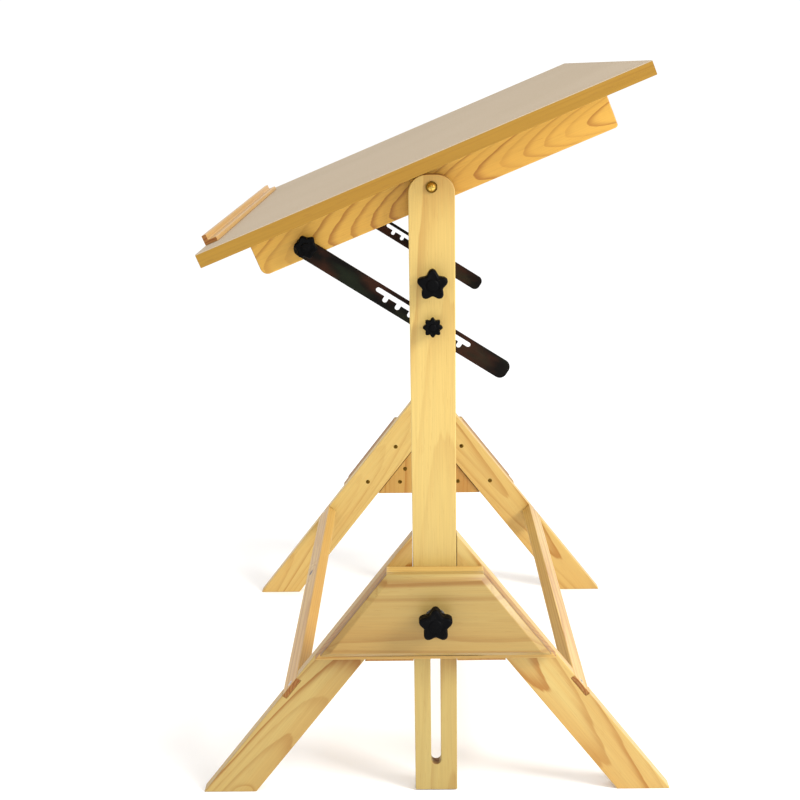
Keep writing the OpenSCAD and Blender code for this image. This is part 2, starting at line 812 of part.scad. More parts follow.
module arm_knob_right() { color(plastic) arm_knob(); }
module arm_knob_left() { color(plastic) mirror([0, 1, 0]) arm_knob(); }
module arm_insert_right() {
    color(brass) knob_insert(0, hook_z, arm_knob_y, arm_bolt_d, small_grip);
}
module arm_insert_left() { color(brass) mirror([0, 1, 0]) arm_insert_right(); }
module pivot_bolts() { color(brass) both_ends() pivot_bolt(); }
module pivot_cups() {
    color(brass) both_ends()
        washer_y(0, pivot_z, -(post_outer_y + cup_t), cup_t, cup_d, pivot_bolt_d + 2 * bore_clear);
}
module pivot_spacers() {
    color(steel) both_ends()
        washer_y(0, pivot_z, -post_inner_y, post_inner_y - cleat_outer_y - face_gap, pivot_bolt_d * 2.5,
                 pivot_bolt_d + 2 * bore_clear);
}
module pivot_nuts() { color(steel) both_ends() pivot_nut(); }
module lipping_front() { color(pine) on_top() lipping(top_d, top_l); }
module lipping_back() { color(pine) on_top() mirror([1, 0, 0]) lipping(top_d, top_l); }
module lipping_right() { color(pine) on_top() rotate(90) lipping(top_l, top_d); }
module lipping_left() { color(pine) on_top() rotate(-90) lipping(top_l, top_d); }
module board() { color("#D8B87A") core_board(); }
module sheet() { color("#D2C0A2") surface_sheet(); }
module cleat_right() { color(pine) cleat(); }
module cleat_left() { color(pine) mirror([0, 1, 0]) cleat(); }
module cleat_screws() { color(steel) on_top() both_ends() cleat_screw_places() wood_screw(cleat_screw_l); }
module ledge_strip() { color(pine) ledge(); }
module ledge_screws() { color(steel) on_top() ledge_screw_places() wood_screw(ledge_screw_l); }
module arm_pins() { color(steel) both_ends() arm_pin(); }
module pin_knob_right() { color(plastic) pin_knob(); }
module pin_knob_left() { color(plastic) mirror([0, 1, 0]) pin_knob(); }
module pin_insert_right() {
    color(brass) on_top() knob_insert(pin_u, pin_w, pin_knob_y, arm_bolt_d, small_grip);
}
module pin_insert_left() { color(brass) mirror([0, 1, 0]) pin_insert_right(); }
module tilt_arm_right() { color(dark_steel) tilt_arm(); }
module tilt_arm_left() { color(dark_steel) mirror([0, 1, 0]) tilt_arm(); }

leg_front_right();
leg_back_right();
leg_front_left();
leg_back_left();
guide_plate_right();
guide_plate_left();
guide_blocks_right();
guide_blocks_left();
face_plate_right();
face_plate_left();
stretcher_front();
stretcher_back();
leg_screws();
plate_screws();
stretcher_screws();
clamp_bolt_right();
clamp_bolt_left();
clamp_washers();
clamp_knob_right();
clamp_knob_left();
clamp_insert_right();
clamp_insert_left();
post_right();
post_left();
rail();  // cross_rail
rail_barrel_nuts();
rail_washers();
rail_knob_right();
rail_knob_left();
rail_stud_right();
rail_stud_left();
arm_clamp_bolts();
arm_clamp_washers();
arm_knob_right();
arm_knob_left();
arm_insert_right();
arm_insert_left();
pivot_bolts();
pivot_cups();
pivot_spacers();
pivot_nuts();
board();  // core_board
sheet();  // surface_sheet
lipping_front();
lipping_back();
lipping_right();
lipping_left();
cleat_right();
cleat_left();
cleat_screws();
ledge_strip();  // ledge
ledge_screws();
arm_pins();
pin_knob_right();
pin_knob_left();
pin_insert_right();
pin_insert_left();
tilt_arm_right();
tilt_arm_left();
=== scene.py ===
"""Drafting table: the looks of its pine boards, steel arms, moulded knobs and metal fittings."""

import json
import logging
import math
from dataclasses import dataclass, field
from enum import Enum
from typing import Protocol

import bmesh
import bpy
from mathutils import Matrix, Vector

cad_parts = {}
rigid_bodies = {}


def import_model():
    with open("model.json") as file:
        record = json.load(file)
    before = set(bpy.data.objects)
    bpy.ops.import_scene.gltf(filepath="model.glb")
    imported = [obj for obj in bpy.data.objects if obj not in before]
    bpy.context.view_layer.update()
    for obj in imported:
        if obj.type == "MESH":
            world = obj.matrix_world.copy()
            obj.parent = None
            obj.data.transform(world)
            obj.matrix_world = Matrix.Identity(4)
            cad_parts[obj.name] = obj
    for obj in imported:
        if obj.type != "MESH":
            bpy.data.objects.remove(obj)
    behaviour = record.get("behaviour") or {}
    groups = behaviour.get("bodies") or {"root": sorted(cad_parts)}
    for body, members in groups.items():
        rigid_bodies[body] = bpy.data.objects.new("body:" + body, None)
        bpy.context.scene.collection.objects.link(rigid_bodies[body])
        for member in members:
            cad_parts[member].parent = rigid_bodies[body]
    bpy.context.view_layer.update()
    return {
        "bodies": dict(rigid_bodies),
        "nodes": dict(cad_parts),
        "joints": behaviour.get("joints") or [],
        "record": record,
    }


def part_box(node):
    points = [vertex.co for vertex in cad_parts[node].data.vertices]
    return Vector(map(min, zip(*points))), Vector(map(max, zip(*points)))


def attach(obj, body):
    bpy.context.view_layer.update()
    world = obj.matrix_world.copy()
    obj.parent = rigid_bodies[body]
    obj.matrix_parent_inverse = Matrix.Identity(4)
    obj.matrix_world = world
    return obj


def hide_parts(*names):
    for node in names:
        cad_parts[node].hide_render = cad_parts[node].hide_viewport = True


LOG = logging.getLogger("drafting_table")
MM = 0.001
X, Y, Z = Vector((1, 0, 0)), Vector((0, 1, 0)), Vector((0, 0, 1))

Triple = tuple[float, float, float]
Colour = tuple[float, float, float, float]
Socket = bpy.types.NodeSocket
Input = Socket | float | tuple[float, ...]


def tint(red: int, green: int, blue: int) -> Colour:
    """Turns an sRGB colour into the linear colour that the shaders use.

    Args:
        red: Red, from 0 to 255.
        green: Green, from 0 to 255.
        blue: Blue, from 0 to 255.

    Returns:
        The linear colour with an alpha of 1.
    """
    linear = [
        c / 12.92 if c <= 0.04045 else ((c + 0.055) / 1.055) ** 2.4
        for c in (red / 255, green / 255, blue / 255)
    ]
    return (*linear, 1.0)


@dataclass(frozen=True)
class Lie:
    """How a piece lies: its middle, its directions as the columns of turn, and its half sizes."""

    middle: Vector
    turn: Matrix
    half: Vector

    @classmethod
    def of(cls, node: str, along: Vector, through: Vector) -> "Lie":
        """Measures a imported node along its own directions.

        Args:
            node: The node's name.
            along: The direction of its grain or length.
            through: The direction of its thickness.

        Returns:
            The lie of the node.
        """
        along = along.normalized()
        across = through.cross(along).normalized()
        turn = Matrix((along, across, along.cross(across))).transposed()
        points = [turn.transposed() @ v.co for v in bpy.data.objects[node].data.vertices]
        low = Vector([min(p[i] for p in points) for i in range(3)])
        high = Vector([max(p[i] for p in points) for i in range(3)])
        return cls(turn @ ((low + high) / 2), turn, (high - low) / 2)


# Shader nodes -------------------------


@dataclass(frozen=True)
class Pattern:
    """Soft noise: its cells per metre each way, its shift, its finer layers and how it is cut.

    Between the levels low and high, it rises smoothly from start to end. Share is the most of a
    colour that it lays over a piece.
    """

    scale: Triple
    shift: float = 0.0
    detail: float = 2.0
    low: float = 0.0
    high: float = 1.0
    start: float = 0.0
    end: float = 1.0
    share: float = 1.0


class Nodes:
    """One material's nodes, with short calls for what the finishes share."""

    spread_out = (3.7, 1.9, 5.3)

    def __init__(self, name: str) -> None:
        """Makes an empty material with its surface shader.

        Args:
            name: The material's name.
        """
        self.material = bpy.data.materials.new(name)
        self.material.use_nodes = True
        self.tree = self.material.node_tree
        self.surface = self.tree.nodes["Principled BSDF"]

    def add(self, kind: str, **settings: object) -> bpy.types.Node:
        """Adds a node.

        Args:
            kind: The node's type in Blender.
            settings: Its properties.

        Returns:
            The node.
        """
        made = self.tree.nodes.new(kind)
        for key, value in settings.items():
            setattr(made, key, value)
        return made

    def put(self, socket: Socket, value: Input) -> None:
        """Feeds a socket from another socket, or sets its own value.

        Args:
            socket: The socket to feed.
            value: What feeds it.
        """
        if isinstance(value, Socket):
            self.tree.links.new(value, socket)
        else:
            socket.default_value = value

    def feed(self, inputs: dict[str, Input]) -> None:
        """Feeds the surface shader's inputs, by their names."""
        for name, value in inputs.items():
            self.put(self.surface.inputs[name], value)

    def calc(self, operation: str, *values: Input) -> Socket:
        """Does one sum on numbers.

        Args:
            operation: The sum's name in Blender.
            values: What it works on.

        Returns:
            The result's socket.
        """
        made = self.add("ShaderNodeMath", operation=operation)
        for socket, value in zip(made.inputs, values):
            self.put(socket, value)
        return made.outputs[0]

    def vector(self, operation: str, *values: Input) -> Socket:
        """Does one sum on vectors.

        Args:
            operation: The sum's name in Blender.
            values: What it works on.

        Returns:
            The result's socket, which is a number for a dot product or a length.
        """
        made = self.add("ShaderNodeVectorMath", operation=operation)
        for socket, value in zip(made.inputs, values):
            self.put(socket, value)
        return made.outputs["Value" if operation in ("DOT_PRODUCT", "LENGTH") else "Vector"]

    def split(self, whole: Socket) -> tuple[Socket, ...]:
        """Splits a vector.

        Args:
            whole: The vector's socket.

        Returns:
            The sockets of its three numbers.
        """
        made = self.add("ShaderNodeSeparateXYZ")
        self.put(made.inputs[0], whole)
        return tuple(made.outputs)

    def rise(self, value: Input, low: Input, high: Input, start: Input = 0.0, end: Input = 1.0) -> Socket:
        """Turns a number into a smooth rise.

        Args:
            value: The number.
            low: Where the rise starts.
            high: Where it ends.
            start: The result at low and below.
            end: The result at high and above.

        Returns:
            The result's socket.
        """
        made = self.add("ShaderNodeMapRange", interpolation_type="SMOOTHSTEP")
        for key, given in zip(("Value", "From Min", "From Max", "To Min", "To Max"),
                              (value, low, high, start, end)):
            self.put(made.inputs[key], given)
        return made.outputs[0]

    def noise(self, place: Socket, scale: Triple, shift: float = 0.0, detail: float = 2.0,
              colour: bool = False) -> Socket:
        """Soft noise whose cells are stretched differently along each direction.

        Args:
            place: The position socket.
            scale: Cells per metre along each direction.
            shift: Moves the noise, so that two boards never match.
            detail: How many finer layers it has.
            colour: Gives three numbers instead of one.

        Returns:
            The noise socket.
        """
        spread = self.vector("MULTIPLY", place, scale)
        moved = self.vector("ADD", spread, tuple(shift * way for way in self.spread_out))
        made = self.add("ShaderNodeTexNoise")
        self.put(made.inputs["Vector"], moved)
        made.inputs["Scale"].default_value = 1.0
        made.inputs["Detail"].default_value = detail
        return made.outputs["Color" if colour else "Fac"]

    def patch(self, place: Socket, pattern: Pattern, seed: float = 0.0) -> Socket:
        """Lays a pattern over a piece, moved by the piece's own seed."""
        cloud = self.noise(place, pattern.scale, seed + pattern.shift, pattern.detail)
        return self.rise(cloud, pattern.low, pattern.high, pattern.start, pattern.end)

    def blend(self, share: Input, first: Input, second: Input) -> Socket:
        """Mixes two colours.

        Args:
            share: How much there is of the second colour.
            first: The first colour.
            second: The second colour.

        Returns:
            The mixed colour's socket.
        """
        made = self.add("ShaderNodeMix", data_type="RGBA")
        self.put(made.inputs["Factor"], share)
        colours = [s for s in made.inputs if s.type == "RGBA"]
        self.put(colours[0], first)
        self.put(colours[1], second)
        return next(s for s in made.outputs if s.type == "RGBA")

    def wash(self, under: Input, over: Input, mask: Socket, most: float) -> Socket:
        """Lays a colour thinly over the one under it, by a mask and its share where that is 1."""
        return self.blend(self.calc("MULTIPLY", mask, most), under, over)

    def relief(self, height: Socket, depth: float, strength: float) -> None:
        """Raises and sinks the surface.

        Args:
            height: The height socket, from 0 to 1.
            depth: How deep it goes, in metres.
            strength: How much of it shows, from 0 to 1.
        """
        made = self.add("ShaderNodeBump")
        made.inputs["Strength"].default_value = strength
        made.inputs["Distance"].default_value = depth
        self.put(made.inputs["Height"], height)
        self.feed({"Normal": made.outputs["Normal"]})

    def coordinates(self, lie: Lie) -> tuple[Socket, Socket]:
        """Gives the position and the face direction in a piece's own directions.

        Args:
            lie: How the piece lies.

        Returns:
            The position, in metres from the piece's middle, and the direction of the face.
        """
        source = self.add("ShaderNodeTexCoord")
        made = []
        for output in ("Object", "Normal"):
            mapping = self.add("ShaderNodeMapping", vector_type="TEXTURE")
            self.put(mapping.inputs["Vector"], source.outputs[output])
            mapping.inputs["Rotation"].default_value = lie.turn.to_euler("XYZ")
            if output == "Object":
                mapping.inputs["Location"].default_value = lie.middle
            made.append(mapping.outputs[0])
        return made[0], made[1]


# Finishes -----------------------------


class Finish(Protocol):
    """What every finish can do."""

    def material(self, name: str, lie: Lie) -> bpy.types.Material:
        """Builds the material of a piece that lies in a given way."""


@dataclass(frozen=True)
class Knot:
    """A branch stub in a board, placed from the board's middle, in metres."""

    along: float
    across: float
    radius: float = 0.004


@dataclass(frozen=True)
class Streak:
    """A darker, resin-rich band along a board, placed from the board's middle, in metres."""

    across: float
    width: float
    strength: float = 0.5


@dataclass(frozen=True)
class Pine:
    """Varnished pine, sawn from a log whose growth rings run through the whole board."""

    seed: float
    heart_across: float = 0.012
    heart_below: float = 0.06
    lean: float = 0.05
    sink: float = 0.0
    ring: float = 0.0065
    figure: float = 0.8
    tone: float = 1.0
    knots: tuple[Knot, ...] = ()
    streaks: tuple[Streak, ...] = ()
    # fade is painted shade: how much darker the board gets at the negative end of its length, the foot of a
    # post.
    fade: float = 0.0

    pale: Colour = tint(196, 167, 98)
    honey: Colour = tint(186, 144, 74)
    late: Colour = tint(150, 92, 18)
    end: Colour = tint(120, 62, 14)
    heartwood: Colour = tint(70, 34, 16)

    wander: Triple = (1.6, 7.0, 7.0)
    sway: float = 0.022
    ragged: Triple = (5.0, 60.0, 60.0)
    raggedness: float = 0.6
    late_start: float = 0.35
    late_end: float = 0.94
    late_bend: float = 2.2
    faintest_year: float = 0.3
    fibre: Triple = (14.0, 700.0, 700.0)
    rub: Triple = (9.0, 60.0, 60.0)
    shade: Pattern = Pattern((1.2, 9.0, 9.0), shift=4.0, low=0.32, high=0.7)
    bold: Pattern = Pattern((1.0, 12.0, 12.0), shift=9.0, low=0.3, high=0.62, start=0.35)
    thread: Pattern = Pattern((2.2, 120.0, 120.0), shift=2.0, low=0.35, high=0.75, share=0.3)
    duct: Pattern = Pattern((45.0, 1500.0, 1500.0), shift=6.0, detail=0.0, low=0.74, high=0.84, share=0.35)
    knot_stretch: Triple = (0.6, 1.0, 0.1)
    knot_bend: float = 2.4
    knot_reach: float = 5.0
    knot_edge: tuple[float, float] = (0.7, 1.15)
    # The arrises get a painted highlight in the board's pale colour, and a rougher, rubbed varnish.
    rub_width: float = 0.4 * MM
    rub_fade: float = 1.0 * MM
    rub_unevenness: float = 2.4 * MM
    rub_share: float = 0.3
    end_starts: float = 0.4
    end_full: float = 0.95

    satin: float = 0.34
    matt: float = 0.5
    rub_roughness: float = 0.12
    end_roughness: float = 0.2
    coat: float = 0.1
    coat_roughness: float = 0.3
    specular: float = 0.3
    relief_depth: float = 0.15 * MM
    relief_strength: float = 0.5

    def material(self, name: str, lie: Lie) -> bpy.types.Material:
        """Builds the wood for one board.

        Args:
            name: The material's name.
            lie: How the board lies.

        Returns:
            The material.
        """
        n = Nodes(name)
        place, facing = n.coordinates(lie)
        across, reach = self._log(n, place)
        knot_core: Input = 0.0
        for knot in self.knots:
            reach, knot_core = self._knot(n, place, reach, knot_core, knot)
        phase, swell, line = self._rings(n, place, reach)
        for streak in self.streaks:
            line = n.calc("MAXIMUM", line, self._streak(n, across, phase, streak))

        fibre = n.noise(place, self.fibre, self.seed)
        duct = n.patch(place, self.duct, self.seed)
        arris = self._arris(n, place, lie)
        along_grain = n.calc("ABSOLUTE", n.vector("DOT_PRODUCT", facing, tuple(X)))
        cross_cut = n.rise(along_grain, self.end_starts, self.end_full)

        wood = n.blend(n.patch(place, self.shade, self.seed), self.pale, self.honey)
        wood = n.wash(wood, self.honey, n.patch(place, self.thread, self.seed), self.thread.share)
        wood = n.blend(line, wood, self.late)
        wood = n.wash(wood, self.late, duct, self.duct.share)
        if self.knots:
            wood = n.blend(knot_core, wood, self.heartwood)
        wood = n.blend(n.calc("MULTIPLY", cross_cut, n.rise(swell, 0.0, 1.0, 0.7, 1.0)), wood, self.end)
        # Painted highlight: the arrises are washed paler.
        wood = n.wash(wood, self.pale, arris, self.rub_share)

        sheen = n.calc("ADD", n.rise(fibre, 0.2, 0.8, self.satin, self.matt),
                       n.calc("MULTIPLY", arris, self.rub_roughness))
        n.feed({
            "Base Color": self._brightened(n, wood, n.split(place)[0], fibre, lie),
            "Roughness": n.calc("ADD", sheen, n.calc("MULTIPLY", cross_cut, self.end_roughness)),
            "Coat Weight": self.coat,
            "Coat Roughness": self.coat_roughness,
            "Specular IOR Level": self.specular,
        })
        grain = n.calc("MULTIPLY_ADD", line, 0.6, n.calc("MULTIPLY", fibre, 0.5))
        height = n.calc("SUBTRACT", grain, n.calc("MULTIPLY", duct, 0.6))
        n.relief(height, self.relief_depth, self.relief_strength)
        return n.material

    def _log(self, n: Nodes, place: Socket) -> tuple[Socket, Socket]:
        """Places each point in the log, whose heart wanders along the board.

        Args:
            n: The material's nodes.
            place: The position socket.

        Returns:
            The place across the board and the distance from the heart.
        """
        wander = n.vector("SUBTRACT", n.noise(place, self.wander, self.seed, colour=True), (0.5, 0.5, 0.5))
        sway = n.vector("MULTIPLY", wander, (0.0, self.sway, self.sway))
        along, across, through = n.split(n.vector("ADD", place, sway))
        side = n.calc("SUBTRACT", across, n.calc("MULTIPLY_ADD", along, self.lean, self.heart_across))
        depth = n.calc("ADD", through, n.calc("MULTIPLY_ADD", along, self.sink, self.heart_below))
        squares = [n.calc("MULTIPLY", gap, gap) for gap in (side, depth)]
        return across, n.calc("SQRT", n.calc("ADD", *squares))

    def _rings(self, n: Nodes, place: Socket, reach: Socket) -> tuple[Socket, Socket, Socket]:
        """Cuts the log into years, each with a darkening band of late wood.

        Args:
            n: The material's nodes.
            place: The position socket.
            reach: The distance from the log's heart.

        Returns:
            The place within a year, the band's own strength, and the strength that shows.
        """
        rings = n.calc("DIVIDE", reach, self.ring)
        rough = n.noise(place, self.ragged, self.seed, 3.0)
        ragged = n.calc("MULTIPLY_ADD", rough, self.raggedness, rings)
        phase = n.calc("FRACT", ragged)
        swell = n.calc("POWER", n.rise(phase, self.late_start, self.late_end), self.late_bend)
        swell = n.calc("MULTIPLY", swell, n.rise(phase, self.late_end, 1.0, 1.0, 0.0))
        year = n.add("ShaderNodeTexWhiteNoise", noise_dimensions="1D")
        n.put(year.inputs["W"], n.calc("ADD", n.calc("FLOOR", ragged), self.seed))
        this_year = n.rise(year.outputs["Value"], 0.1, 0.9, self.faintest_year, 1.0)
        boldness = n.calc("MULTIPLY", this_year, n.patch(place, self.bold, self.seed))
        line = n.calc("MULTIPLY", n.calc("MULTIPLY", swell, boldness), self.figure)
        return phase, swell, line

    def _brightened(self, n: Nodes, wood: Socket, along: Socket, fibre: Socket, lie: Lie) -> Socket:
        """Varies the wood's brightness with its fibres, and darkens it along its length as painted shade.

        Args:
            n: The material's nodes.
            wood: The colour so far.
            along: The place along the board.
            fibre: The fibres' noise.
            lie: How the board lies.

        Returns:
            The colour's socket.
        """
        # Painted shade: darker by fade at the negative end, at full brightness from 0.4 of the half length
        # on.
        painted_shade_along = n.rise(along, -lie.half.x, lie.half.x * 0.4, 1.0 - self.fade, 1.0)
        value = n.calc("MULTIPLY", n.rise(fibre, 0.25, 0.75, 0.95, 1.04),
                       n.calc("MULTIPLY", painted_shade_along, self.tone))
        bright = n.add("ShaderNodeHueSaturation")
        n.put(bright.inputs["Value"], value)
        n.put(bright.inputs["Color"], wood)
        return bright.outputs[0]

    def _knot(self, n: Nodes, place: Socket, reach: Socket, core: Input,
              knot: Knot) -> tuple[Socket, Socket]:
        """Bends the rings round a knot and adds its dark core.

        Args:
            n: The material's nodes.
            place: The position socket.
            reach: The distance from the log's heart.
            core: The dark cores so far.
            knot: The knot.

        Returns:
            The bent distance and the dark cores.
        """
        away = n.vector("SUBTRACT", place, (knot.along, knot.across, 0.0))
        away = n.vector("MULTIPLY", away, tuple(way / knot.radius for way in self.knot_stretch))
        far = n.vector("LENGTH", away)
        swirl = n.rise(far, 0.0, self.knot_reach, 1.0, 0.0)
        reach = n.calc("MULTIPLY_ADD", swirl, self.ring * self.knot_bend, reach)
        dark = n.rise(far, *self.knot_edge, 1.0, 0.0)
        return reach, n.calc("MAXIMUM", core, dark)

    @staticmethod
    def _streak(n: Nodes, across: Socket, phase: Socket, streak: Streak) -> Socket:
        """Draws a soft-edged band, which wanders with the grain and deepens within each year.

        Args:
            n: The material's nodes.
            across: The place across the board.
            phase: The place within a year.
            streak: The band.

        Returns:
            The band's strength.
        """
        away = n.calc("ABSOLUTE", n.calc("SUBTRACT", across, streak.across))
        band = n.rise(away, streak.width * 0.2, streak.width, streak.strength, 0.0)
        return n.calc("MULTIPLY", band, n.rise(phase, 0.0, 1.0, 0.7, 1.0))

    def _arris(self, n: Nodes, place: Socket, lie: Lie) -> Socket:
        """Finds the board's long arrises, which get a painted highlight and a rougher, rubbed varnish.

        Args:
            n: The material's nodes.
            place: The position socket.
            lie: How the board lies.

        Returns:
            A socket that is 1 on the arrises and 0 elsewhere.
        """
        _, across, through = n.split(place)
        gaps = [
            n.calc("SUBTRACT", half, n.calc("ABSOLUTE", way))
            for half, way in ((lie.half.y, across), (lie.half.z, through))
        ]
        uneven = n.calc("MULTIPLY", n.noise(place, self.rub, 1.0), self.rub_unevenness)
        fade = n.calc("ADD", uneven, self.rub_fade)
        return n.rise(n.calc("MAXIMUM", *gaps), self.rub_width, fade, 1.0, 0.0)


@dataclass(frozen=True)
class HardSheet:
    """The beige laminate of the working surface, with a fine pebbled skin."""

    base: Colour = tint(184, 166, 141)
    fleck: Colour = tint(158, 139, 110)
    cloud: Pattern = Pattern((3.0, 3.0, 3.0), shift=2.0, detail=3.0, low=0.3, high=0.7, share=0.2)
    speck: Pattern = Pattern((900.0, 900.0, 900.0), low=0.45, high=0.7, share=0.3)
    rubbed: Pattern = Pattern((6.0, 140.0, 40.0), shift=7.0, detail=3.0, low=0.62, high=0.8)
    roughness: float = 0.6
    rubbed_gloss: float = 0.08
    specular: float = 0.12
    relief_depth: float = 0.05 * MM
    relief_strength: float = 0.4

    def material(self, name: str, lie: Lie) -> bpy.types.Material:
        """Builds the laminate.

        Args:
            name: The material's name.
            lie: How the sheet lies.

        Returns:
            The material.
        """
        n = Nodes(name)
        place, _ = n.coordinates(lie)
        speck = n.patch(place, self.speck)
        matt = n.rise(speck, 0.0, 1.0, self.roughness, self.roughness + 0.1)
        gloss = n.calc("MULTIPLY", n.patch(place, self.rubbed), self.rubbed_gloss)
        colour = n.wash(self.base, self.fleck, n.patch(place, self.cloud), self.cloud.share)
        n.feed({
            "Base Color": n.wash(colour, self.fleck, speck, self.speck.share),
            "Roughness": n.calc("SUBTRACT", matt, gloss),
            "Specular IOR Level": self.specular,
        })
        n.relief(speck, self.relief_depth, self.relief_strength)
        return n.material


@dataclass(frozen=True)
class BluedSteel:
    """Oil-blacked steel strip, with brown and green heat tints and rubbed scratches."""

    dark: Colour = tint(14, 11, 9)
    brown: Colour = tint(54, 30, 19)
    green: Colour = tint(30, 36, 24)
    bare: Colour = tint(84, 76, 68)
    heat: Pattern = Pattern((16.0, 26.0, 26.0), shift=3.0, detail=3.0, low=0.4, high=0.66, share=0.8)
    moss: Pattern = Pattern((11.0, 30.0, 30.0), shift=8.0, detail=3.0, low=0.48, high=0.7, share=0.65)
    scratch: Pattern = Pattern((18.0, 1400.0, 300.0), shift=5.0, low=0.68, high=0.82, share=0.35)
    metallic: float = 0.1
    specular: float = 0.06
    smoothest: float = 0.3
    roughest: float = 0.52
    relief_depth: float = 0.04 * MM
    relief_strength: float = 0.3

    def material(self, name: str, lie: Lie) -> bpy.types.Material:
        """Builds the blacked steel.

        Args:
            name: The material's name.
            lie: How the arm lies.

        Returns:
            The material.
        """
        n = Nodes(name)
        place, _ = n.coordinates(lie)
        heat, moss, scratch = [n.patch(place, p) for p in (self.heat, self.moss, self.scratch)]
        colour: Input = self.dark
        for over, mask, pattern in ((self.brown, heat, self.heat), (self.green, moss, self.moss),
                                    (self.bare, scratch, self.scratch)):
            colour = n.wash(colour, over, mask, pattern.share)
        n.feed({
            "Base Color": colour,
            "Metallic": self.metallic,
            "Specular IOR Level": self.specular,
            "Roughness": n.rise(n.calc("ADD", heat, scratch), 0.0, 2.0, self.smoothest, self.roughest),
        })
        n.relief(n.calc("SUBTRACT", heat, scratch), self.relief_depth, self.relief_strength)
        return n.material


@dataclass(frozen=True)
class MouldedPlastic:
    """Black moulded plastic with a fine spark-eroded skin."""

    base: Colour = tint(4, 4, 5)
    dull: Colour = tint(12, 12, 13)
    skin: Triple = (1800.0, 1800.0, 1800.0)
    handled: Pattern = Pattern((60.0, 60.0, 60.0), shift=4.0, detail=3.0, low=0.4, high=0.7, share=0.4)
    roughness: float = 0.55
    handled_roughness: float = 0.4
    specular: float = 0.05
    relief_depth: float = 0.06 * MM
    relief_strength: float = 0.5

    def material(self, name: str, lie: Lie) -> bpy.types.Material:
        """Builds the plastic.

        Args:
            name: The material's name.
            lie: How the knob lies.

        Returns:
            The material.
        """
        n = Nodes(name)
        place, _ = n.coordinates(lie)
        handled = n.patch(place, self.handled)
        n.feed({
            "Base Color": n.wash(self.base, self.dull, handled, self.handled.share),
            "Roughness": n.rise(handled, 0.0, 1.0, self.roughness, self.handled_roughness),
            "Specular IOR Level": self.specular,
        })
        n.relief(n.noise(place, self.skin, 1.0), self.relief_depth, self.relief_strength)
        return n.material


@dataclass(frozen=True)
class BareMetal:
    """Plated or solid metal, slightly mottled and scratched."""

    bright: Colour
    stained: Colour
    roughness: float
    stain: Pattern = Pattern((220.0, 220.0, 220.0), shift=2.0, detail=3.0, low=0.42, high=0.72)
    turned: Triple = (2600.0, 500.0, 2600.0)
    relief_depth: float = 0.02 * MM
    relief_strength: float = 0.35

    def material(self, name: str, lie: Lie) -> bpy.types.Material:
        """Builds the metal.

        Args:
            name: The material's name.
            lie: How the fitting lies.

        Returns:
            The material.
        """
        n = Nodes(name)
        place, _ = n.coordinates(lie)
        stain = n.patch(place, self.stain)
        n.feed({
            "Base Color": n.blend(stain, self.bright, self.stained),
            "Metallic": 1.0,
            "Roughness": n.rise(stain, 0.0, 1.0, self.roughness, self.roughness + 0.2),
        })
        n.relief(n.noise(place, self.turned, 6.0, 1.0), self.relief_depth, self.relief_strength)
        return n.material


class Metal(Enum):
    """The kinds of plain metal on the table."""

    BRASS = BareMetal(tint(206, 172, 84), tint(132, 92, 34), 0.24)
    AGED_BRASS = BareMetal(tint(120, 92, 34), tint(64, 40, 14), 0.42)
    ZINC = BareMetal(tint(196, 198, 200), tint(150, 150, 152), 0.34)


# Shaping ------------------------------


